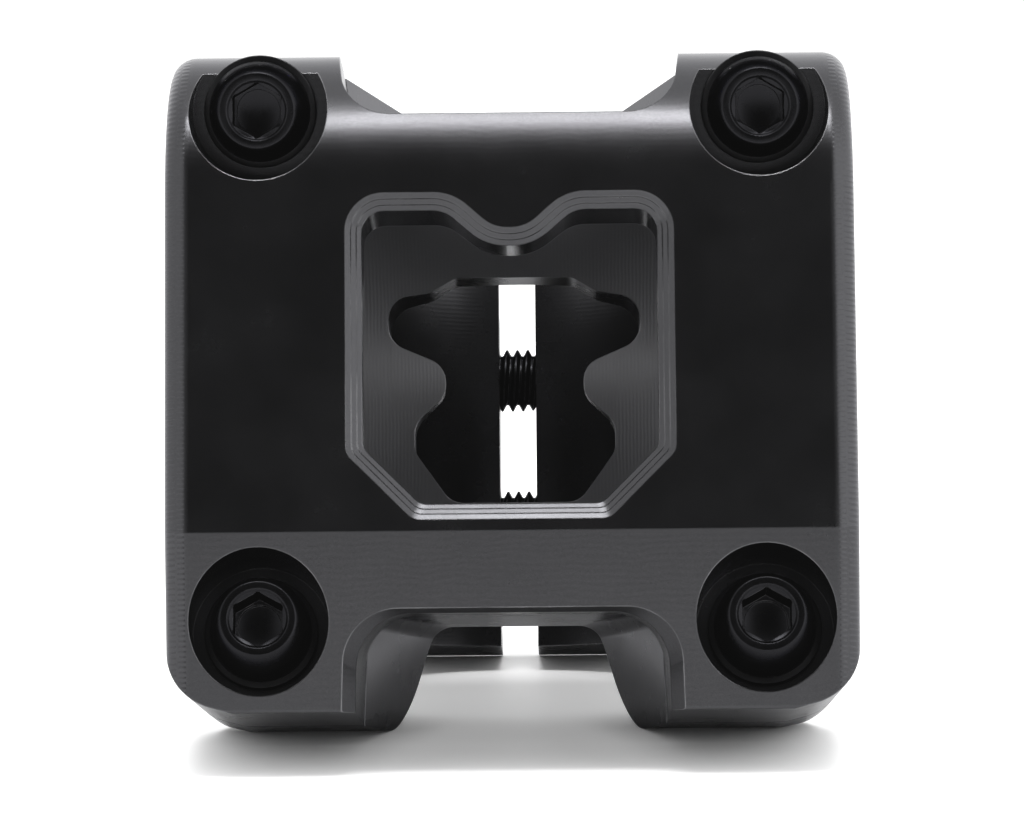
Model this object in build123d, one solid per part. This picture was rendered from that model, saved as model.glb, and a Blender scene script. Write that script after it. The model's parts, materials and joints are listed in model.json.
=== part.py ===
from build123d import *
import math
import os

# Handlebar stem for a bicycle, in millimetres and degrees.
# Origin: centre of the steerer bore. +Z up along the steerer, -Y forward to the
# faceplate, X across the bike along the handlebar.

# ---- driving dimensions: interfaces ----
bar_diameter = 35.0          # handlebar held by the faceplate
steerer_diameter = 28.6      # fork steerer held by the rear clamp
reach = 32.0                 # steerer axis to handlebar axis
stack_height = 38.0          # height of the steerer clamp
clamp_width = 57.1           # overall width of the faceplate and of the body's front

# ---- driving dimensions: faceplate and front bosses ----
front_depth = 21.5           # handlebar axis to the flat front face
top_height = 27.35           # handlebar axis to the top of the upper bosses
bottom_height = 29.1         # handlebar axis to the underside of the lower bosses
front_round = 13.4           # radius from the front face over to the top
front_flat_low = 14.45       # handlebar axis down to where the lower bevel starts
lower_bevel_angle = 10.3     # lean of the lower front bevel, from vertical
front_foot_round = 0.3       # crisp edge between that bevel and the underside
split_gap = 0.5              # gap between faceplate and body, shared by both
side_round = 2.1             # rounding of the faceplate's front side edges
low_corner_chamfer = 3.0     # width of the bevel along the lower outer corners
low_corner_rise = 1.4        # height of the same bevel
low_corner_round = 5.0       # rounding above that bevel

# ---- driving dimensions: window, scoops and arch ----
window_half = 13.55          # half side of the window at the front face
window_corner = 3.2          # upper corner radius
window_cut = 5.5             # 45 degree cut of the lower corners
notch_depth = 3.0            # V in the window's upper edge
notch_half_top = 4.7         # half width of the V at the upper edge
notch_half_low = 1.3         # half width of the V's nose before it is rounded
notch_round_top = 4.2
notch_round_low = 3.1
bevel_terraces = 3           # the bevel round the window falls inwards in narrow terraces
bevel_width = 0.45           # width of each
bevel_fall = 0.25            # depth each loses across its width
bevel_riser = 0.12           # height of the near-upright riser between two
bridge_height = 20.5         # handlebar axis to the top of the bridge between the upper bosses
scoop_half = 14.4            # half width of the gap between the upper bosses at the split
scoop_round = 4.2
scoop_side_lean = 8.0        # outward lean of the scoop's side walls
arch_height = 21.2           # handlebar axis down to the arch under the faceplate, at its front
arch_half = 13.0             # half width of the arch at its foot, from the front to the split
arch_round = 4.6
arch_side_lean = 2.0
arch_bevel_side = 1.1        # bevel round the arch, on its two sides
arch_bevel_top = 0.5         # the same bevel over its top
arch_bevel_depth = 1.3
arm_converge = 20.0          # inward slope of the upper arms towards the steerer
arm_back_half = 9.9          # half width between the lower arms' feet at their back end
arm_back_lean = 11.0         # lean of the lower arms' inner walls there

# ---- driving dimensions: body ----
cradle_wall = 2.1            # wall behind the handlebar, between the arms
arm_length = 13.0            # handlebar axis back to the end of the arms
arm_step = 2.4               # run of the slope from there down to the steerer clamp
arm_rise = 2.2               # climb of the upper arms behind the split, over the bolts
arm_slope = 20.0             # sideways fall of the upper arms' inner edges, away from the bolts
arm_slope_fall = 4.6         # backward fall of the same edges
arm_web = 0.4                # what is left under the clamp where the lower arms run into it
arm_corner = 1.5             # corner between the lower arms and that web
arm_round_top = 5.4
arm_round_low = 6.6
arm_foot_round = 3.5         # where the arms run into the steerer clamp
ring_wall = 4.9              # wall of the steerer clamp
front_land = 4.0             # full width kept behind the split before the sides taper
taper_end = 6.0              # the taper reaches the clamp's width this far ahead of the steerer axis
taper_round = 9.0
ear_half = 13.2              # half width across the two clamp ears
ear_back = 6.6               # pinch bolt axis to the back of the ears
ear_height = 27.0            # height of the ears
ear_round = 4.0
slot_width = 3.5
pinch_spacing = 13.8         # pinch bolt to pinch bolt
pinch_bolt_back = 19.4       # steerer axis back to the pinch bolt axes
pinch_rise = 0.3             # the pair sits higher than the clamp's middle by this
throat_high = 11.6           # top of the opening between the cradle and the steerer bore
throat_top_half = 5.2
gallery_half = 11.3          # widest, upper part of that opening
gallery_high = 9.9
gallery_low = 6.3
waist_half = 6.2             # narrowest part
waist_high = 4.2
waist_low = 1.6
lobe_half = 9.0              # lower part
lobe_high = -1.0
lobe_low = -3.6
throat_low_half = 5.7
throat_low = -8.4
throat_round = 2.1

# ---- driving dimensions: fasteners ----
plate_bolt_diameter = 5.0
plate_bolt_pitch = 0.8
plate_bolt_length = 22.0
thread_length = 14.0         # threaded end of every bolt
plate_bolt_x = 20.8          # handlebar middle to each faceplate bolt
plate_bolt_z = 21.0          # height of the bolt axes at the front face
plate_bolt_drop = 0.45       # the whole pattern sits lower than the handlebar axis by this
plate_bolt_tilt = 9.5        # the bolts close towards the front by this angle
plate_seat_depth = 5.9       # front face to the washer seat, at the bolt axis
plate_bore_diameter = 11.5   # counterbore round each head
head_base_diameter = 8.5
head_front_diameter = 7.4
head_height = 5.0
hex_size = 4.0
hex_depth = 2.6
washer_diameter = 9.4
washer_thickness = 0.8
pinch_diameter = 6.0
pinch_pitch = 1.0
pinch_length = 19.0
pinch_head_diameter = 10.0
pinch_head_height = 6.0
pinch_hex_size = 5.0
pinch_hex_depth = 3.4
pinch_seat = 7.2             # middle plane to the pinch washer seat
pinch_bore_diameter = 12.2
pinch_washer_diameter = 11.4
shank_clearance = 0.35       # radial, bolt shank in its through hole
thread_clearance = 0.05      # radial, bolt crest in its thread bore
washer_clearance = 0.12      # radial, shank in its washer
bolt_tip_gap = 0.3           # thread bore left ahead of a faceplate bolt's tip

# ---- worked out from the above ----
bar_radius = bar_diameter / 2
steerer_radius = steerer_diameter / 2
half_width = clamp_width / 2
half_stack = stack_height / 2
bar_y = -reach
front_y = bar_y - front_depth
plate_back_y = bar_y - split_gap / 2
body_front_y = bar_y + split_gap / 2
arm_end_y = bar_y + arm_length
ring_radius = steerer_radius + ring_wall
ear_end_y = pinch_bolt_back + ear_back
far = 200.0                  # reach of a cutting tool past the part


def front_prism(face, y_front, y_back):
    """A prism from front to back from a face drawn in (x, z)."""
    plane = Plane(origin=(0, y_back, 0), x_dir=(1, 0, 0), z_dir=(0, -1, 0))
    return extrude(plane * face, y_back - y_front)


def round_at(face, spots, radius):
    """Round the corners of a flat face that lie nearest the given spots."""
    corners = [face.vertices().sort_by_distance(spot)[0] for spot in spots]
    return fillet(corners, radius)


def along_x(radius, y, z, length=far):
    return Pos(0, y, z) * Rot(0, 90, 0) * Cylinder(radius, length)


def edges_on_side(solid, side_x, tolerance=0.01):
    """Edges that lie wholly in the plane x = side_x."""
    found = []
    for edge in solid.edges():
        box = edge.bounding_box()
        if abs(box.min.X - side_x) < tolerance and abs(box.max.X - side_x) < tolerance:
            found.append(edge)
    return found


# ---- outlines shared by the faceplate and the body ----
def lower_outline():
    """The lower outline seen from the front: rounded and bevelled, open above."""
    corner_x = half_width
    foot_x = half_width - low_corner_round * 0.5
    points = [
        (-corner_x, far), (corner_x, far),
        (corner_x, -bottom_height + low_corner_rise),
        (foot_x - low_corner_chamfer, -bottom_height),
        (-foot_x + low_corner_chamfer, -bottom_height),
        (-corner_x, -bottom_height + low_corner_rise),
    ]
    face = make_face(Polyline(*points, close=True))
    low = -bottom_height + low_corner_rise
    return round_at(face, [(-corner_x, low), (corner_x, low)], low_corner_round)


def upper_scoop(y_front, y_back, converge):
    """The gap between the upper bosses; its walls close towards the back."""
    lean = math.tan(math.radians(scoop_side_lean))
    height = far / 4

    def section(y):
        half = scoop_half - math.tan(math.radians(converge)) * (y - bar_y)
        wide = half + lean * (bridge_height + height - top_height)
        narrow = half - lean * (top_height - bridge_height)
        points = [(-wide, bridge_height + height), (wide, bridge_height + height),
                  (narrow, bridge_height), (-narrow, bridge_height)]
        face = make_face(Polyline(*points, close=True))
        face = round_at(face, [(narrow, bridge_height), (-narrow, bridge_height)], scoop_round)
        return Plane(origin=(0, y, 0), x_dir=(1, 0, 0), z_dir=(0, -1, 0)) * face

    return loft([section(y_back), section(y_front)], ruled=True)


def arch_face(half, top, foot, corner, lean_angle):
    """The arch seen from the front: half width at the foot, leaning walls, rounded top corners."""
    lean = math.tan(math.radians(lean_angle))
    narrow = half - lean * (top - foot)
    wide = half + lean * far / 4
    points = [(-narrow, top), (narrow, top), (wide, foot - far / 4), (-wide, foot - far / 4)]
    face = make_face(Polyline(*points, close=True))
    return round_at(face, [(narrow, top), (-narrow, top)], corner)


def faceplate_arch():
    """The gap between the lower bosses; its ceiling climbs from the front to the split."""
    def section(y, top):
        plane = Plane(origin=(0, y, 0), x_dir=(1, 0, 0), z_dir=(0, -1, 0))
        return plane * arch_face(arch_half, top, -bottom_height, arch_round, arch_side_lean)

    ceiling_back = -(bar_radius + cradle_wall)
    climb = (ceiling_back + arch_height) / front_depth
    over = 1.0
    return loft([section(bar_y + over, ceiling_back + climb * over),
                 section(front_y - over, -arch_height - climb * over)], ruled=True)


def arch_bevel():
    """The bevel round the arch, cut square to the leaning lower front."""
    angle = math.radians(lower_bevel_angle)
    over = 0.5
    foot = (front_flat_low - bottom_height) / math.cos(angle)

    def section(depth, share):
        plane = Plane(origin=(0, front_y + depth, -front_flat_low), x_dir=(1, 0, 0),
                      z_dir=(0, -math.cos(angle), -math.sin(angle)))
        top = (front_flat_low - arch_height) / math.cos(angle) + arch_bevel_top * share
        half = arch_half + arch_bevel_side * share
        return plane * arch_face(half, top, foot, arch_round, arch_side_lean)

    return loft([section(arch_bevel_depth, 0), section(-over, 1 + over / arch_bevel_depth)], ruled=True)


def body_arch():
    """The gap between the body's lower arms, up to the clamp's lower end."""
    def section(y):
        plane = Plane(origin=(0, y, 0), x_dir=(1, 0, 0), z_dir=(0, -1, 0))
        share = (y - bar_y) / arm_length
        half = arch_half + (arm_back_half - arch_half) * share
        lean = arch_side_lean + (arm_back_lean - arch_side_lean) * share
        return plane * arch_face(half, -half_stack - arm_web, -bottom_height, arm_corner, lean)

    return loft([section(-steerer_radius), section(bar_y - 1)], ruled=True)


def arm_slopes():
    """What the upper arms' inner edges lose: they fall inwards, and towards the steerer."""
    def section(y):
        plane = Plane(origin=(0, y, 0), x_dir=(1, 0, 0), z_dir=(0, -1, 0))
        half = scoop_half - math.tan(math.radians(arm_converge)) * (y - bar_y)
        low = top_height - math.tan(math.radians(arm_slope_fall)) * (y - bar_y)
        wide = clamp_width
        high = low + math.tan(math.radians(arm_slope)) * (wide - half)
        points = [(-half, low), (half, low), (wide, high), (wide, far / 2), (-wide, far / 2), (-wide, high)]
        return plane * make_face(Polyline(*points, close=True))

    return loft([section(-steerer_radius), section(bar_y - 1)], ruled=True)


# ---- faceplate bolts: places and directions ----
def plate_bolt_frames():
    """One plane per bolt: origin on the washer seat, z pointing out of the head."""
    frames = {}
    for level, up in (("upper", 1), ("lower", -1)):
        for side, across in (("left", -1), ("right", 1)):
            tilt = math.radians(plate_bolt_tilt)
            out = (0, -math.cos(tilt), -up * math.sin(tilt))
            seat_z = up * (plate_bolt_z + math.tan(tilt) * plate_seat_depth) - plate_bolt_drop
            seat = (across * plate_bolt_x, front_y + plate_seat_depth, seat_z)
            frames[level + "_" + side] = Plane(origin=seat, x_dir=(1, 0, 0), z_dir=out)
    return frames


def bolt_hole(frame, radius, start, length):
    """A round cutter along a bolt axis; start and length run outwards from the seat."""
    return frame * Pos(0, 0, start) * Cylinder(radius, length, align=(Align.CENTER, Align.CENTER, Align.MIN))


# ---- faceplate ----
def window_outline(inset):
    """The window's outline, moved inwards by inset: a V above and cut corners below."""
    half = window_half - inset
    slope = math.hypot(notch_half_top - notch_half_low, notch_depth)
    shift = inset * (slope - notch_depth) / (notch_half_top - notch_half_low)
    top_x = notch_half_top + shift
    low_x = notch_half_low + shift
    cut = window_cut - inset * (2 - math.sqrt(2))
    low_z = half - notch_depth
    points = [
        (-half, half), (-top_x, half), (-low_x, low_z), (low_x, low_z), (top_x, half), (half, half),
        (half, -half + cut), (half - cut, -half), (-half + cut, -half), (-half, -half + cut),
    ]
    face = make_face(Polyline(*points, close=True))
    face = round_at(face, [(-half, half), (half, half)], window_corner - inset)
    face = round_at(face, [(-top_x, half), (top_x, half)], notch_round_top - inset)
    face = round_at(face, [(-low_x, low_z), (low_x, low_z)], notch_round_low + inset)
    ends = [(half, -half + cut), (half - cut, -half), (-half + cut, -half), (-half, -half + cut)]
    return round_at(face, ends, window_cut / 4)


def window_cutter():
    """The through window with the terraced bevel round it."""
    def at_depth(inset, depth):
        plane = Plane(origin=(0, front_y + depth, 0), x_dir=(1, 0, 0), z_dir=(0, -1, 0))
        return plane * window_outline(inset)

    sections = []
    for terrace in range(bevel_terraces):
        outer = bevel_width * terrace
        depth = (bevel_fall + bevel_riser) * terrace
        riser_lean = bevel_width * 0.1 if terrace else 0
        sections.append(at_depth(outer + riser_lean, depth))
        sections.append(at_depth(outer + bevel_width, depth + bevel_fall))
    through = front_prism(window_outline(bevel_width * bevel_terraces), front_y - 1, bar_y)
    return through + loft(sections, ruled=True)


def make_faceplate():
    bevel_run = math.tan(math.radians(lower_bevel_angle)) * (bottom_height - front_flat_low)
    profile = [
        (plate_back_y, -bottom_height), (front_y + bevel_run, -bottom_height),
        (front_y, -front_flat_low), (front_y, top_height), (plate_back_y, top_height),
    ]
    face = make_face(Polyline(*profile, close=True))
    face = round_at(face, [(front_y, top_height)], front_round)
    face = round_at(face, [(front_y + bevel_run, -bottom_height)], front_foot_round)
    plate = extrude(Plane.YZ * face, half_width, both=True)
    front_rim = []
    for edge in edges_on_side(plate, -half_width) + edges_on_side(plate, half_width):
        middle = edge.center()
        if middle.Y < plate_back_y - 0.01 and middle.Z > -bottom_height + 0.01:
            front_rim.append(edge)
    plate = fillet(front_rim, side_round)
    plate = plate & front_prism(lower_outline(), front_y - 5, bar_y + 5)
    plate = plate - along_x(bar_radius, bar_y, 0)
    plate = plate - upper_scoop(front_y - 1, bar_y + 1, 0)
    plate = plate - faceplate_arch() - arch_bevel()
    plate = plate - window_cutter()
    for frame in plate_bolt_frames().values():
        plate = plate - bolt_hole(frame, plate_bore_diameter / 2, 0, far)
        plate = plate - bolt_hole(frame, plate_bolt_diameter / 2 + shank_clearance, -far / 4, far / 2)
    return plate


# ---- body ----
def make_body():
    step_out = arm_end_y + arm_step
    drop_top = top_height + arm_rise - half_stack
    drop_low = bottom_height - half_stack
    profile = [
        (body_front_y, top_height), (arm_end_y, top_height + arm_rise), (step_out, half_stack),
        (ear_end_y, half_stack), (ear_end_y, -half_stack), (step_out, -half_stack),
        (arm_end_y, -bottom_height), (body_front_y, -bottom_height),
    ]
    face = make_face(Polyline(*profile, close=True))
    face = round_at(face, [(arm_end_y, top_height + arm_rise)], min(arm_round_top, drop_top * 0.68))
    face = round_at(face, [(arm_end_y, -bottom_height)], min(arm_round_low, drop_low * 0.68))
    foot_round = min(arm_foot_round, drop_top * 0.35, drop_low * 0.35)
    face = round_at(face, [(step_out, half_stack), (step_out, -half_stack)], foot_round)
    body = extrude(Plane.YZ * face, half_width, both=True)
    top_rim = []
    for edge in edges_on_side(body, -half_width) + edges_on_side(body, half_width):
        if edge.center().Z > half_stack:
            top_rim.append(edge)
    body = fillet(top_rim, side_round)
    body = body & front_prism(lower_outline(), body_front_y, ear_end_y)

    land_y = body_front_y + front_land
    right = [(half_width, body_front_y), (half_width, land_y), (ring_radius, -taper_end),
             (ring_radius, 0)]
    left = [(-x, y) for x, y in reversed(right)]
    plan = make_face(Polyline(*(right + left), close=True))
    plan = round_at(plan, [(half_width, land_y), (-half_width, land_y)], taper_round)
    plan = round_at(plan, [(ring_radius, -taper_end), (-ring_radius, -taper_end)], taper_round)
    outer = extrude(Plane.XY.offset(-far / 4) * plan, far / 2)
    outer = outer + Cylinder(ring_radius, far / 2)
    body = body & outer
    body = body + make_ears()

    body = body - along_x(bar_radius, bar_y, 0)
    body = body - Cylinder(steerer_radius, far)
    body = body - (upper_scoop(bar_y - 1, -steerer_radius, arm_converge) - cradle_shell())
    body = body - arm_slopes()
    body = body - (body_arch() - cradle_shell())
    body = body - throat_cutter()
    body = body - Pos(0, far / 2, 0) * Box(slot_width, far, far)
    for frame in plate_bolt_frames().values():
        body = body - bolt_hole(frame, plate_bolt_diameter / 2 + thread_clearance,
                                washer_thickness - plate_bolt_length - bolt_tip_gap, plate_bolt_length)
    for name, frame in pinch_frames().items():
        body = body - bolt_hole(frame, pinch_bore_diameter / 2, 0, far)
        body = body - bolt_hole(frame, pinch_diameter / 2 + shank_clearance, -pinch_seat, far)
        body = body - bolt_hole(frame, pinch_diameter / 2 + thread_clearance, -far, far)
    return body


def cradle_shell():
    """The wall kept behind the handlebar, where the scoops would cut it away."""
    return along_x(bar_radius + cradle_wall, bar_y, 0)


def throat_cutter():
    """The opening between the handlebar's cradle and the steerer bore: wide, waisted, then wide again."""
    right = [
        (throat_top_half, throat_high), (gallery_half * 0.66, gallery_high + 0.5),
        (gallery_half, gallery_high), (gallery_half, gallery_low),
        (waist_half, waist_high), (waist_half, waist_low), (lobe_half, lobe_high), (lobe_half, lobe_low),
        (throat_low_half, throat_low),
    ]
    left = [(-x, z) for x, z in reversed(right)]
    face = make_face(Polyline(*(right + left), close=True))
    face = round_at(face, right + left, throat_round)
    return front_prism(face, bar_y, 0)


def pinch_frames():
    """The two pinch bolts come from opposite sides; z points out of the head."""
    frames = {}
    for level, up, across in (("upper", 1, 1), ("lower", -1, -1)):
        seat = (across * pinch_seat, pinch_bolt_back, up * pinch_spacing / 2 + pinch_rise)
        frames[level] = Plane(origin=seat, x_dir=(0, 1, 0), z_dir=(across, 0, 0))
    return frames


def make_ears():
    """The two ears behind the steerer bore, one block before the slot is cut."""
    face = make_face(Polyline((-ear_half, 0), (ear_half, 0), (ear_half, ear_end_y),
                              (-ear_half, ear_end_y), close=True))
    face = round_at(face, [(ear_half, ear_end_y), (-ear_half, ear_end_y)], ear_round)
    block = extrude(Plane.XY.offset(-half_stack) * face, stack_height)
    half_ear = ear_height / 2
    profile = [(0, half_stack), (ring_radius - 6, half_stack), (pinch_bolt_back + 1, half_ear),
               (ear_end_y, half_ear), (ear_end_y, -half_ear), (pinch_bolt_back + 1, -half_ear),
               (ring_radius - 6, -half_stack), (0, -half_stack)]
    side = make_face(Polyline(*profile, close=True))
    side = round_at(side, [(ear_end_y, half_ear), (ear_end_y, -half_ear)], ear_round)
    return block & extrude(Plane.YZ * side, half_width, both=True)


# ---- fasteners ----
def threaded_bolt(diameter, pitch, length, head_base, head_front, height, hexagon, depth):
    """A socket head bolt standing on z = 0, its shank below and its head above."""
    radius = diameter / 2
    groove = pitch * 0.6
    tip = 0.6 * pitch
    shank_end = -length + thread_length
    points = [(0, -length), (radius - groove, -length), (radius - groove * 0.4, -length + tip)]
    turns = int((thread_length - tip) / pitch)
    start = -length + tip
    for turn in range(turns):
        low = start + turn * pitch
        points += [(radius - groove, low + pitch * 0.06), (radius - groove, low + pitch * 0.18),
                   (radius, low + pitch * 0.56), (radius, low + pitch * 0.68)]
    points += [(radius - groove, start + turns * pitch + 0.02), (radius, shank_end + pitch * 0.5)]
    lip = 0.55
    dish = hexagon * 0.66
    points += [(radius, 0), (head_base / 2 - 0.25, 0), (head_base / 2, 0.25),
               (head_front / 2, height - lip), (head_front / 2 - 0.25, height - 0.12),
               (head_front / 2 - lip, height), (dish + 0.1, height), (dish * 0.92, height - 0.35),
               (0, height - 0.35)]
    bolt = revolve(Plane.XZ * make_face(Polyline(*points, close=True)), Axis.Z)
    across_corners = hexagon / math.sqrt(3)
    socket = Pos(0, 0, height - 0.35 - depth) * extrude(RegularPolygon(across_corners, 6), depth + 1)
    drilled = Pos(0, 0, height - 0.35 - depth - 0.35) * Cylinder(hexagon * 0.46, 0.8)
    cone = Pos(0, 0, height - 0.35 - depth - 0.9) * Cone(0.3, hexagon * 0.46, 1.0)
    return bolt - socket - drilled - cone


def make_washer(outer, inner_radius, thickness):
    washer = Cylinder(outer / 2, thickness) - Cylinder(inner_radius, thickness * 2)
    washer = Pos(0, 0, thickness / 2) * washer
    top_edges = washer.edges().filter_by(GeomType.CIRCLE).group_by(Axis.Z)[-1]
    return chamfer(top_edges, thickness * 0.2)


def write(name, shape):
    shape = shape if isinstance(shape, (Part, Compound, Solid)) else Part(shape)
    shape.label = name
    export_step(shape, "parts/" + name + ".step")


def main():
    os.makedirs("parts", exist_ok=True)
    write("stem_body", make_body())
    write("faceplate", make_faceplate())
    plate_bolt = threaded_bolt(plate_bolt_diameter, plate_bolt_pitch, plate_bolt_length, head_base_diameter,
                               head_front_diameter, head_height, hex_size, hex_depth)
    plate_washer = make_washer(washer_diameter, plate_bolt_diameter / 2 + washer_clearance, washer_thickness)
    for name, frame in plate_bolt_frames().items():
        write("faceplate_washer_" + name, frame * plate_washer)
        write("faceplate_bolt_" + name, frame * Pos(0, 0, washer_thickness) * plate_bolt)
    pinch_bolt = threaded_bolt(pinch_diameter, pinch_pitch, pinch_length, pinch_head_diameter,
                               pinch_head_diameter - 0.6, pinch_head_height, pinch_hex_size, pinch_hex_depth)
    pinch_washer = make_washer(pinch_washer_diameter, pinch_diameter / 2 + washer_clearance, washer_thickness)
    for name, frame in pinch_frames().items():
        write("pinch_washer_" + name, frame * pinch_washer)
        write("pinch_bolt_" + name, frame * Pos(0, 0, washer_thickness) * pinch_bolt)


main()
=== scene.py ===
import json
import math

import bmesh
import bpy
from mathutils import Matrix, Vector

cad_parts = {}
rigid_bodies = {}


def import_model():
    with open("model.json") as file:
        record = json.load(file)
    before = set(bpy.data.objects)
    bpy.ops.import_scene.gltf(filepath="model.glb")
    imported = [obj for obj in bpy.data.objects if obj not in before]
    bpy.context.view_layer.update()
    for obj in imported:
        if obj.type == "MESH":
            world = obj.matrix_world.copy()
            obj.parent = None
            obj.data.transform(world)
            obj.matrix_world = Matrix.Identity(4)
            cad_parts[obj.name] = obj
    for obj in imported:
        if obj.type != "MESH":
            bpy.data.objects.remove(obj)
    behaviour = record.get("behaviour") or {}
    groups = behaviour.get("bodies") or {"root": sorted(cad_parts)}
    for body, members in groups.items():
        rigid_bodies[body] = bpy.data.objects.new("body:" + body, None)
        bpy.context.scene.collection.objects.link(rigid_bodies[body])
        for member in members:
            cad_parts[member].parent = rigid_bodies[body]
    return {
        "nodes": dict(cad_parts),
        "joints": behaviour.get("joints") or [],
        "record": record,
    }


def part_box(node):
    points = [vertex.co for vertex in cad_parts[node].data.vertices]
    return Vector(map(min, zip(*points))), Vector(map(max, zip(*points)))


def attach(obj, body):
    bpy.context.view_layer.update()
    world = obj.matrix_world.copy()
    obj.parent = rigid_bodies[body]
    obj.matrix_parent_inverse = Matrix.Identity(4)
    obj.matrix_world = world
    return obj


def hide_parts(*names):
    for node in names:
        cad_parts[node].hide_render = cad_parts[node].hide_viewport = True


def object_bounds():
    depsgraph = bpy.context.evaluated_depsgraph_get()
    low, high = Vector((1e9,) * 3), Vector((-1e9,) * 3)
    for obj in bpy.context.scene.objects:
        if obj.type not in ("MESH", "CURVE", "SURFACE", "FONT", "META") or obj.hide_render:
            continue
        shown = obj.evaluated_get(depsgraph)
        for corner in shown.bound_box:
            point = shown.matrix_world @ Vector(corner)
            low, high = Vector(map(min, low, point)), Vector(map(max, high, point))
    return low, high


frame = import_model()
cad_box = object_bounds()
MM = 0.001


# ---- stem body ----
# One block of 7075 aluminium, milled all over: steerer clamp, two ears, handlebar cradle and
# four arms. Blasted with very fine beads, then anodised black. The dyed oxide is a thin skin
# on bright metal, so it is a dark satin metal, paler where an edge has been rubbed.
def linear(hex_colour):
    """An sRGB hex colour as the linear RGBA that a shader reads."""
    parts = [int(hex_colour[i:i + 2], 16) / 255 for i in (1, 3, 5)]
    return [p / 12.92 if p <= 0.04045 else ((p + 0.055) / 1.055) ** 2.4 for p in parts] + [1.0]


def add(tree, kind, inputs=None, **settings):
    """Adds one node, sets its settings, and sets or links its inputs."""
    node = tree.nodes.new(kind)
    for name, value in settings.items():
        setattr(node, name, value)
    for name, value in (inputs or {}).items():
        socket = node.inputs[name]
        if isinstance(value, bpy.types.NodeSocket):
            tree.links.new(value, socket)
        else:
            socket.default_value = value
    return node


def new_material(name):
    """An empty node material, its tree and its output node."""
    material = bpy.data.materials.new(name)
    material.use_nodes = True
    material.node_tree.nodes.clear()
    output = add(material.node_tree, "ShaderNodeOutputMaterial")
    return material, material.node_tree, output


def cutter_marks(tree, place, normal, mask, across, pitch_mm, depth_mm, wander=0.5):
    """Parallel ridges that a milling or boring tool leaves, where the mask is 1."""
    wave = add(tree, "ShaderNodeTexWave", {
        "Vector": place, "Scale": 0.314 / (pitch_mm * MM), "Distortion": wander, "Detail": 1.0,
        "Detail Scale": 0.6}, wave_type="BANDS", bands_direction=across)
    height = add(tree, "ShaderNodeMath", {0: wave.outputs["Fac"], 1: mask}, operation="MULTIPLY")
    bump = add(tree, "ShaderNodeBump", {"Height": height.outputs["Value"], "Strength": 1.0,
                                        "Distance": depth_mm * MM, "Normal": normal})
    return bump.outputs["Normal"]


def near_axis(tree, place, keep, centre, radius_mm):
    """1 inside a cylinder round an axis: keep picks the two directions that count."""
    offset = add(tree, "ShaderNodeVectorMath", {0: place, 1: centre}, operation="SUBTRACT")
    flat = add(tree, "ShaderNodeVectorMath", {0: offset.outputs["Vector"], 1: keep}, operation="MULTIPLY")
    length = add(tree, "ShaderNodeVectorMath", {0: flat.outputs["Vector"]}, operation="LENGTH")
    inside = add(tree, "ShaderNodeMath", {0: length.outputs["Value"], 1: radius_mm * MM},
                 operation="LESS_THAN")
    return inside.outputs["Value"]


def rubbed_edges(tree, cloud, radius_mm, first_turn, patches, least):
    """The normal eased over sharp edges, and how far each spot there has been rubbed, in patches."""
    eased = add(tree, "ShaderNodeBevel", {"Radius": radius_mm * MM}, samples=6).outputs["Normal"]
    flat = add(tree, "ShaderNodeNewGeometry").outputs["Normal"]
    turn = add(tree, "ShaderNodeVectorMath", {0: eased, 1: flat}, operation="DOT_PRODUCT")
    on_edge = add(tree, "ShaderNodeMapRange", {"Value": turn.outputs["Value"], "From Min": first_turn,
                                               "From Max": 0.93, "To Min": 0.0, "To Max": 1.0})
    patchy = add(tree, "ShaderNodeMapRange", {"Value": cloud.outputs["Fac"], "From Min": patches[0],
                                              "From Max": patches[1], "To Min": least, "To Max": 1.0})
    rub = add(tree, "ShaderNodeMath", {0: on_edge.outputs["Result"], 1: patchy.outputs["Result"]},
              operation="MULTIPLY")
    return eased, rub.outputs["Value"]


mounts = {mount["name"]: mount for mount in frame["record"]["mounts"]}
bar_centre = Vector(mounts["bar_clamp"]["pos_m"])
bar_radius_mm = mounts["bar_clamp"]["dims"]["r_mm"]
skin_mm = 0.15
steerer_radius_mm = mounts["steerer_clamp"]["dims"]["r_mm"]


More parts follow.
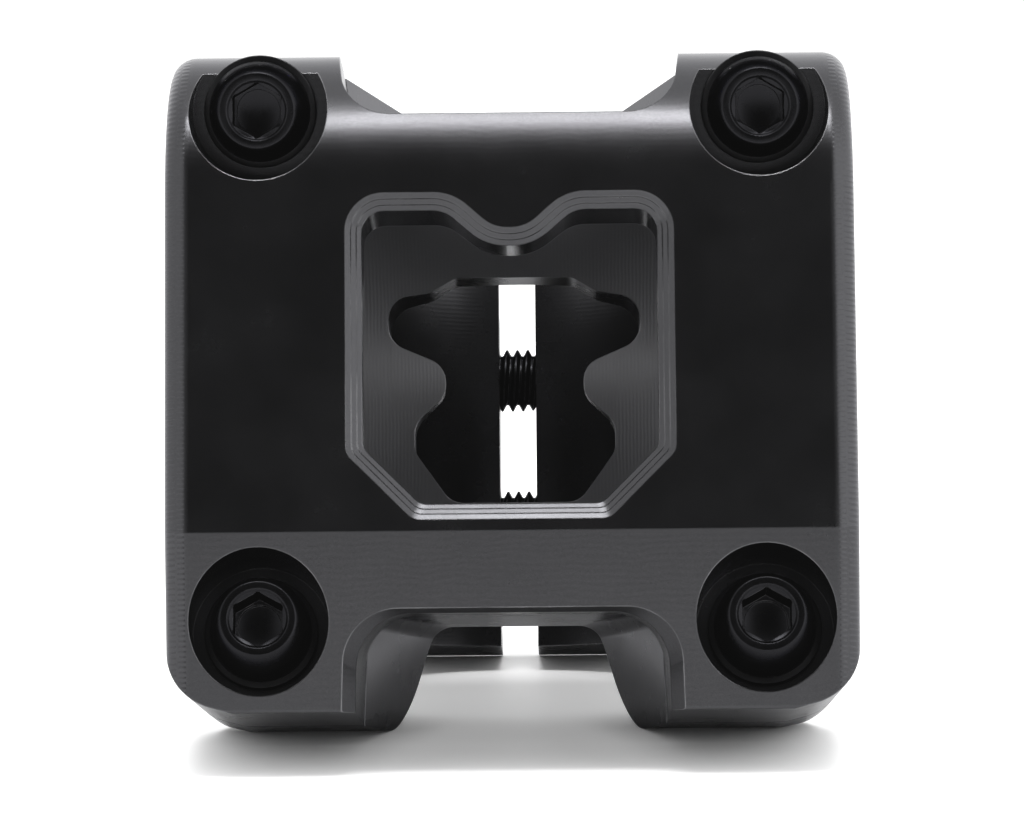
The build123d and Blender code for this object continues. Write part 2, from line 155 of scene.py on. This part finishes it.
def anodised(name, dye, rubbed, roughness, grit_mm, marks):
    """Black anodised aluminium; marks is a function that adds the tool marks of one piece."""
    material, tree, output = new_material(name)
    place = add(tree, "ShaderNodeTexCoord").outputs["Object"]
    seat = near_axis(tree, place, (0.0, 1.0, 1.0), bar_centre, bar_radius_mm + skin_mm)
    grit = add(tree, "ShaderNodeTexNoise", {"Vector": place, "Scale": 1 / (grit_mm * MM),
                                            "Detail": 2.0, "Roughness": 0.6})
    cloud = add(tree, "ShaderNodeTexNoise", {"Vector": place, "Scale": 1 / (7 * MM),
                                             "Detail": 4.0, "Roughness": 0.6})
    worn, rub = rubbed_edges(tree, cloud, 0.16, 0.995, (0.4, 0.62), 0.15)
    speck = add(tree, "ShaderNodeMapRange", {"Value": grit.outputs["Fac"], "From Min": 0.3,
                                             "From Max": 0.7, "To Min": 0.0, "To Max": 1.0})
    darker = [channel * 0.8 for channel in linear(dye)[:3]] + [1.0]
    dyed = add(tree, "ShaderNodeMix", {"Factor": speck.outputs["Result"], "A": darker, "B": linear(dye)},
               data_type="RGBA")
    tint = add(tree, "ShaderNodeMix", {"Factor": rub, "A": dyed.outputs[2],
                                       "B": linear(rubbed)}, data_type="RGBA")
    # Inside the bar seat the colour turns pale grey. This is a painted reflection that makes the seat look
    # lit by light coming in through its open ends. The seat is also rougher and carries the boring marks.
    dye_and_painted_seat_sheen = add(tree, "ShaderNodeMix", {"Factor": seat, "A": tint.outputs[2], "B": linear("#767678")},
                data_type="RGBA")
    rough = add(tree, "ShaderNodeMapRange", {"Value": cloud.outputs["Fac"], "From Min": 0.3, "From Max": 0.7,
                                             "To Min": roughness - 0.02, "To Max": roughness + 0.03})
    rougher = add(tree, "ShaderNodeMix", {"Factor": seat, "A": rough.outputs["Result"], "B": 0.4},
                  data_type="FLOAT")
    blasted = add(tree, "ShaderNodeBump", {"Height": grit.outputs["Fac"], "Strength": 1.0,
                                           "Distance": 0.002 * MM, "Normal": worn})
    fed = cutter_marks(tree, place, blasted.outputs["Normal"], seat, "X", 0.32, 0.006, 1.5)
    normal = marks(tree, place, fed)
    shader = add(tree, "ShaderNodeBsdfPrincipled", {
        "Base Color": dye_and_painted_seat_sheen.outputs[2], "Metallic": 1.0, "Roughness": rougher.outputs[0],
        "Specular Tint": linear("#f0f0f2"), "Normal": normal})
    tree.links.new(shader.outputs["BSDF"], output.inputs["Surface"])
    return material


def wear(node, material):
    """Gives a CAD node its finish."""
    target = frame["nodes"][node]
    target.data.materials.clear()
    target.data.materials.append(material)


def bore_marks(tree, place, normal):
    """The boring tool's feed marks in the steerer's bore."""
    bore = near_axis(tree, place, (1.0, 1.0, 0.0), (0.0, 0.0, 0.0), steerer_radius_mm + skin_mm)
    return cutter_marks(tree, place, normal, bore, "Z", 0.4, 0.0015, 1.0)


body_finish = anodised("black_anodised_body", "#464648", "#7c7c7e", 0.27, 0.16, bore_marks)
wear("stem_body", body_finish)


# ---- faceplate ----
# The clamp half that closes on the handlebar, milled from aluminium bar, anodised with the body
# and held by four bolts. A ball cutter ran along its rounded sides in two passes, which left
# two ladders of steps.
side_edge_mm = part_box("faceplate")[1].x / MM


def plate_marks(tree, place, normal):
    """The two ladders of steps, and long face milling lines."""
    split = add(tree, "ShaderNodeSeparateXYZ", {"Vector": place})
    outwards = add(tree, "ShaderNodeMath", {0: split.outputs["X"]}, operation="ABSOLUTE")
    for start_mm, end_mm, pitch_mm in ((1.75, 1.15, 0.42), (0.95, 0.1, 0.47)):
        after = add(tree, "ShaderNodeMath", {0: outwards.outputs["Value"], 1: (side_edge_mm - start_mm) * MM},
                    operation="GREATER_THAN")
        before = add(tree, "ShaderNodeMath", {0: outwards.outputs["Value"], 1: (side_edge_mm - end_mm) * MM},
                     operation="LESS_THAN")
        strip = add(tree, "ShaderNodeMath", {0: after.outputs["Value"], 1: before.outputs["Value"]},
                    operation="MULTIPLY")
        normal = cutter_marks(tree, place, normal, strip.outputs["Value"], "Z", pitch_mm, 0.02, 0.2)
    return cutter_marks(tree, place, normal, 1.0, "Z", 0.55, 0.0007, 6.0)


plate_finish = anodised("black_anodised_faceplate", "#464648", "#808082", 0.25, 0.14, plate_marks)
wear("faceplate", plate_finish)


# ---- washers ----
# Hard steel washers, turned, with broken edges, black oxide finish. They lie loose under the
# heads and keep them from galling the soft seats.
def black_oxide(name, colour, bright, roughness):
    """Black oxide steel: a thin conversion layer, rubbed to grey on the edges that tools touch."""
    material, tree, output = new_material(name)
    place = add(tree, "ShaderNodeTexCoord").outputs["Object"]
    cloud = add(tree, "ShaderNodeTexNoise", {"Vector": place, "Scale": 1 / (1.6 * MM), "Detail": 4.0,
                                             "Roughness": 0.65})
    grain = add(tree, "ShaderNodeTexNoise", {"Vector": place, "Scale": 1 / (0.12 * MM), "Detail": 2.0})
    worn, rub = rubbed_edges(tree, cloud, 0.09, 0.996, (0.42, 0.6), 0.1)
    tint = add(tree, "ShaderNodeMix", {"Factor": rub, "A": linear(colour),
                                       "B": linear(bright)}, data_type="RGBA")
    rough = add(tree, "ShaderNodeMapRange", {"Value": cloud.outputs["Fac"], "From Min": 0.3, "From Max": 0.7,
                                             "To Min": roughness - 0.03, "To Max": roughness + 0.05})
    bump = add(tree, "ShaderNodeBump", {"Height": grain.outputs["Fac"], "Strength": 1.0,
                                        "Distance": 0.0008 * MM, "Normal": worn})
    shader = add(tree, "ShaderNodeBsdfPrincipled", {
        "Base Color": tint.outputs[2], "Metallic": 1.0, "Roughness": rough.outputs["Result"],
        "Specular Tint": linear("#88888a"), "Normal": bump.outputs["Normal"]})
    tree.links.new(shader.outputs["BSDF"], output.inputs["Surface"])
    return material


def finish_piece(bm, name, place, material, body):
    """Turns a bmesh that stands on its own axis into a piece in its real place, riding on its body."""
    bmesh.ops.transform(bm, matrix=place, verts=bm.verts)
    bmesh.ops.recalc_face_normals(bm, faces=bm.faces)
    mesh = bpy.data.meshes.new(name)
    bm.to_mesh(mesh)
    bm.free()
    for polygon in mesh.polygons:
        polygon.use_smooth = True
    mesh.set_sharp_from_angle(angle=math.radians(30))
    mesh.materials.append(material)
    piece = bpy.data.objects.new(name, mesh)
    bpy.context.scene.collection.objects.link(piece)
    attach(piece, body)
    return piece


def turned(bm, points, steps):
    """Spins a chain of (radius, height) points in mm about Z into a closed skin."""
    verts = [bm.verts.new((radius * MM, 0, height * MM)) for radius, height in points]
    edges = [bm.edges.new(pair) for pair in zip(verts, verts[1:])]
    bmesh.ops.spin(bm, geom=verts + edges, cent=(0, 0, 0), axis=(0, 0, 1), angle=math.tau, steps=steps,
                   use_merge=True, use_duplicate=False)
    bmesh.ops.remove_doubles(bm, verts=bm.verts, dist=0.0005 * MM)


def ease_edges(bm, least_turn, width_mm):
    """Breaks every sharp edge, as tumbling does."""
    sharp = [e for e in bm.edges if len(e.link_faces) == 2 and e.calc_face_angle() > math.radians(least_turn)]
    bmesh.ops.bevel(bm, geom=sharp, affect="EDGES", offset=width_mm * MM, segments=2, profile=0.5,
                    material=-1, clamp_overlap=True)


def on_joint(joint):
    """The place of a bolt: its seat as the origin, and Z out of the head."""
    outwards = Vector(joint["axis"]).to_track_quat("Z", "X").to_matrix().to_4x4()
    return Matrix.Translation(Vector(joint["pos_m"])) @ outwards


turns = {joint["child"]: joint for joint in frame["joints"] if joint["type"] == "hinge"}
washer_steel = black_oxide("black_oxide_washer_steel", "#262627", "#58585a", 0.34)
washer_height_mm = 0.8
for bolt, joint in turns.items():
    outer_mm = 4.7 if bolt.startswith("faceplate") else 5.7
    inner_mm = 2.62 if bolt.startswith("faceplate") else 3.12
    bm = bmesh.new()
    turned(bm, [(inner_mm, 0), (outer_mm, 0), (outer_mm, washer_height_mm), (inner_mm, washer_height_mm),
                (inner_mm, 0)], 64)
    ease_edges(bm, 60, 0.1)
    node = bolt.replace("bolt", "washer")
    washer = finish_piece(bm, node + "_turned", on_joint(joint), washer_steel, joint["parent"])
    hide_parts(node)


# ---- bolts ----
# Grade 12.9 socket screws: heads cold formed to a taper and rounded over, hexagon punched and
# its bottom drilled, threads rolled. Four M5 close the faceplate and two M6 pinch the steerer.
def hexagon(verts, across_flats_mm):
    """Moves a ring of vertices round Z outwards or inwards on to a hexagon."""
    for vert in verts:
        bearing = math.atan2(vert.co.y, vert.co.x) % (math.pi / 3) - math.pi / 6
        radius = across_flats_mm * MM / 2 / math.cos(bearing)
        scale = radius / math.hypot(vert.co.x, vert.co.y)
        vert.co.x *= scale
        vert.co.y *= scale


def socket_screw(head, hexagon_mm, socket_depth_mm, radius_mm, pitch_mm, length_mm, thread_mm):
    """A socket screw with its head standing on z = 0; head lists (radius, height) up its side."""
    bm = bmesh.new()
    core_mm = radius_mm - 0.61 * pitch_mm
    top_mm = head[-1][1]
    dish_mm = hexagon_mm * 0.63
    floor_mm = top_mm - socket_depth_mm
    run_mm = length_mm - thread_mm
    pocket_mm = hexagon_mm * 0.53
    drill_mm = hexagon_mm * 0.45
    outline = [(0, -length_mm), (core_mm - 0.35, -length_mm), (core_mm, -length_mm + 0.4),
               (core_mm, -run_mm - 0.4), (radius_mm, -run_mm), (radius_mm, -0.35), (radius_mm + 0.3, 0)]
    outline += head + [(dish_mm, top_mm), (hexagon_mm * 0.58, top_mm - 0.26), (pocket_mm, top_mm - 0.34)]
    outline += [(pocket_mm, floor_mm), (drill_mm, floor_mm), (drill_mm, floor_mm - 0.3), (0, floor_mm - 0.36)]
    turned(bm, outline, 72)
    ring = [v for v in bm.verts if abs(math.hypot(v.co.x, v.co.y) - pocket_mm * MM) < 0.001 * MM
            and v.co.z > 0]
    hexagon(ring, hexagon_mm)
    ease_edges(bm, 28, 0.07)
    tooth = [bm.verts.new((r * MM, 0, (z - run_mm - pitch_mm) * MM)) for r, z in (
        (core_mm - 0.08, -0.44 * pitch_mm), (radius_mm, -0.07 * pitch_mm), (radius_mm, 0.07 * pitch_mm),
        (core_mm - 0.08, 0.44 * pitch_mm))]
    profile = bm.faces.new(tooth)
    rounds = math.floor((thread_mm - 1.6 * pitch_mm) / pitch_mm)
    steps = rounds * 30
    before = set(bm.verts)
    bmesh.ops.spin(bm, geom=[profile] + profile.edges[:] + tooth, cent=(0, 0, 0), axis=(0, 0, 1),
                   dvec=(0, 0, -rounds * pitch_mm * MM / steps), angle=math.tau * rounds, steps=steps,
                   use_duplicate=False)
    helix = [v for v in bm.verts if v not in before] + tooth
    start_z = (-run_mm - pitch_mm) * MM
    end_z = start_z - rounds * pitch_mm * MM
    for vert in helix:
        from_end = min(start_z - vert.co.z, vert.co.z - end_z) / (pitch_mm * MM)
        share = max(0.0, min(1.0, 0.35 + from_end))
        radius = math.hypot(vert.co.x, vert.co.y)
        eased = core_mm * MM + (radius - core_mm * MM) * share
        if radius > core_mm * MM:
            vert.co.x *= eased / radius
            vert.co.y *= eased / radius
    return bm


bolt_steel = black_oxide("black_oxide_bolt_steel", "#202022", "#6e6e70", 0.27)
plate_head = [(4.0, 0), (4.22, 0.14), (4.2, 0.9), (4.08, 2.1), (3.86, 3.2), (3.6, 4.1), (3.36, 4.66),
              (3.2, 4.9), (3.08, 5.0)]
pinch_head = [(4.75, 0), (4.98, 0.2), (4.95, 4.9), (4.7, 5.6), (4.3, 6.0)]
for bolt, joint in turns.items():
    if bolt.startswith("faceplate"):
        bm = socket_screw(plate_head, 4.0, 2.9, 2.5, 0.8, 22.0, 14.0)
    else:
        bm = socket_screw(pinch_head, 5.0, 3.6, 3.0, 1.0, 19.0, 14.0)
    stood = on_joint(joint) @ Matrix.Translation((0, 0, washer_height_mm * MM))
    screw = finish_piece(bm, bolt + "_forged", stood, bolt_steel, bolt)
    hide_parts(bolt)


# ---- table ----
# A matt white table. A weak glow that only the camera sees weakens its shadows, except at the
# contacts. The stem stands on the table on its lower front arms and the back of the clamp.
def resting_plane():
    """The foot that the stem stands on and the pitch of a table that also touches the clamp's back."""
    corners = [v.co for v in frame["nodes"]["stem_body"].data.vertices]
    fore = [c for c in corners if c.y < -20 * MM]
    aft = [c for c in corners if c.y > 0]
    pitch = 0.0
    for step in range(6):
        foot = min(fore, key=lambda c: c.z - math.tan(pitch) * c.y)
        pitch = min(math.atan2(c.z - foot.z, c.y - foot.y) for c in aft)
    return foot, pitch


foot, pitch = resting_plane()
table_turn = Matrix.Rotation(pitch, 4, "X")
up = (table_turn @ Vector((0, 0, 1))).normalized()
front = (table_turn @ Vector((0, -1, 0))).normalized()

table_mesh = bpy.data.meshes.new("table")
bm = bmesh.new()
bmesh.ops.create_circle(bm, cap_ends=True, segments=96, radius=6.0)
bmesh.ops.transform(bm, matrix=Matrix.Translation((0, foot.y, foot.z - 0.02 * MM)) @ table_turn,
                    verts=bm.verts)
bm.to_mesh(table_mesh)
bm.free()
table = bpy.data.objects.new("table", table_mesh)
bpy.context.scene.collection.objects.link(table)
table_material, tree, output = new_material("matt_white_table")
grain = add(tree, "ShaderNodeTexNoise", {"Vector": add(tree, "ShaderNodeTexCoord").outputs["Object"],
                                         "Scale": 900.0, "Detail": 2.0})
matt = add(tree, "ShaderNodeMapRange", {"Value": grain.outputs["Fac"], "From Min": 0.3, "From Max": 0.7,
                                        "To Min": 0.5, "To Max": 0.6})
shader = add(tree, "ShaderNodeBsdfPrincipled", {"Base Color": linear("#f6f6f6"),
                                                "Roughness": matt.outputs["Result"]})
open_air = add(tree, "ShaderNodeAmbientOcclusion", {"Distance": 5 * MM}, samples=8)
by_camera = add(tree, "ShaderNodeLightPath").outputs["Is Camera Ray"]
direct = add(tree, "ShaderNodeMath", {0: open_air.outputs["AO"], 1: by_camera}, operation="MULTIPLY")
glow_level = 0.3
strength = add(tree, "ShaderNodeMath", {0: direct.outputs["Value"], 1: glow_level}, operation="MULTIPLY")
glowing = add(tree, "ShaderNodeEmission", {"Strength": strength.outputs["Value"]})
lit = add(tree, "ShaderNodeAddShader", {0: shader.outputs["BSDF"], 1: glowing.outputs["Emission"]})
clear = add(tree, "ShaderNodeBsdfTransparent")
facing = add(tree, "ShaderNodeNewGeometry")
blend = add(tree, "ShaderNodeMixShader", {0: facing.outputs["Backfacing"], 1: lit.outputs["Shader"],
                                          2: clear.outputs["BSDF"]})
tree.links.new(blend.outputs["Shader"], output.inputs["Surface"])
table_mesh.materials.append(table_material)


# ---- light ----
# A white tent with a dark gap low down in front where the camera stands, brighter on the right,
# and one large softbox overhead, a little forward. Its top and back bleach the table.
world = bpy.data.worlds.new("tent")
bpy.context.scene.world = world
world.use_nodes = True
tree = world.node_tree
tree.nodes.clear()
output = add(tree, "ShaderNodeOutputWorld")
toward = add(tree, "ShaderNodeTexCoord").outputs["Generated"]


def glow(direction, outer_degrees, inner_degrees):
    """1 within inner_degrees of a direction of the tent, fading to 0 at outer_degrees."""
    dot = add(tree, "ShaderNodeVectorMath", {0: toward, 1: direction}, operation="DOT_PRODUCT")
    fade = add(tree, "ShaderNodeMapRange", {
        "Value": dot.outputs["Value"], "From Min": math.cos(math.radians(outer_degrees)),
        "From Max": math.cos(math.radians(inner_degrees)), "To Min": 0.0, "To Max": 1.0},
        interpolation_type="SMOOTHSTEP")
    return fade.outputs["Result"]


def raised(degrees):
    """The direction straight in front, raised by this many degrees."""
    return front * math.cos(math.radians(degrees)) + up * math.sin(math.radians(degrees))


left_level = 1.4
right_level = 2.2
dark_level = 0.045
bleach_level = 1.5
backdrop_level = 1.1
across = add(tree, "ShaderNodeSeparateXYZ", {"Vector": toward}).outputs["X"]
sides = add(tree, "ShaderNodeMapRange", {"Value": across, "From Min": -0.3, "From Max": 0.3,
                                         "To Min": left_level, "To Max": right_level})
top = add(tree, "ShaderNodeMix", {"Factor": glow(raised(125), 75, 35), "A": sides.outputs["Result"],
                                  "B": bleach_level}, data_type="FLOAT")
beside = add(tree, "ShaderNodeMath", {0: across}, operation="ABSOLUTE")
narrow = add(tree, "ShaderNodeMapRange", {"Value": beside.outputs["Value"], "From Min": 0.5, "From Max": 0.3,
                                          "To Min": 0.0, "To Max": 1.0}, interpolation_type="SMOOTHSTEP")
camera_side = add(tree, "ShaderNodeMath", {0: glow(raised(22), 48, 30), 1: narrow.outputs["Result"]},
                  operation="MULTIPLY")
shaded = add(tree, "ShaderNodeMix", {"Factor": camera_side.outputs["Value"], "A": top.outputs[0],
                                     "B": dark_level}, data_type="FLOAT")
seen = add(tree, "ShaderNodeLightPath").outputs["Is Camera Ray"]
shown = add(tree, "ShaderNodeMix", {"Factor": seen, "A": shaded.outputs[0], "B": backdrop_level},
            data_type="FLOAT")
background = add(tree, "ShaderNodeBackground", {"Color": (1, 1, 1, 1), "Strength": shown.outputs[0]})
tree.links.new(background.outputs["Background"], output.inputs["Surface"])


def softbox(name, aim, direction, distance, width, height, brightness):
    """A rectangular light that looks at aim from that direction, of a set surface brightness."""
    data = bpy.data.lights.new(name, "AREA")
    data.shape = "RECTANGLE"
    data.size = width
    data.size_y = height
    data.energy = brightness * math.pi * width * height
    light = bpy.data.objects.new(name, data)
    light.location = aim + direction.normalized() * distance
    light.rotation_euler = direction.to_track_quat("Z", "Y").to_euler()
    bpy.context.scene.collection.objects.link(light)


middle = (cad_box[0] + cad_box[1]) / 2
softbox("overhead_softbox", middle, raised(73), 0.8, 0.5, 0.15, 17.0)

# ---- camera ----
# A long lens in front of the faceplate, a little below its middle in the stem's own frame.
distance = 400 * MM
drop = math.radians(7.0)
yaw = math.radians(0.57)
roll = math.radians(-0.48)
aim = Vector((0.12 * MM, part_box("faceplate")[0].y, -4.55 * MM))
sight = Vector((-math.sin(yaw), math.cos(drop) * math.cos(yaw), math.sin(drop))).normalized()
camera_data = bpy.data.cameras.new("camera")
camera_data.sensor_width = 36.0
camera_data.lens = 171.56
camera_data.clip_start = 0.01
camera_data.clip_end = 50.0
camera = bpy.data.objects.new("camera", camera_data)
aimed = (-sight).to_track_quat("Z", "Y").to_matrix().to_4x4()
camera.matrix_world = Matrix.Translation(aim - sight * distance) @ aimed @ Matrix.Rotation(roll, 4, "Z")
bpy.context.scene.collection.objects.link(camera)
bpy.context.scene.camera = camera

# Black is lifted slightly, as stray light in a lens does.
black_lift = 0.004
view = bpy.context.scene.view_settings
view.view_transform = "Standard"
view.look = "None"
view.use_curve_mapping = True
view.curve_mapping.curves[3].points[0].location = (0.0, black_lift)
view.curve_mapping.update()
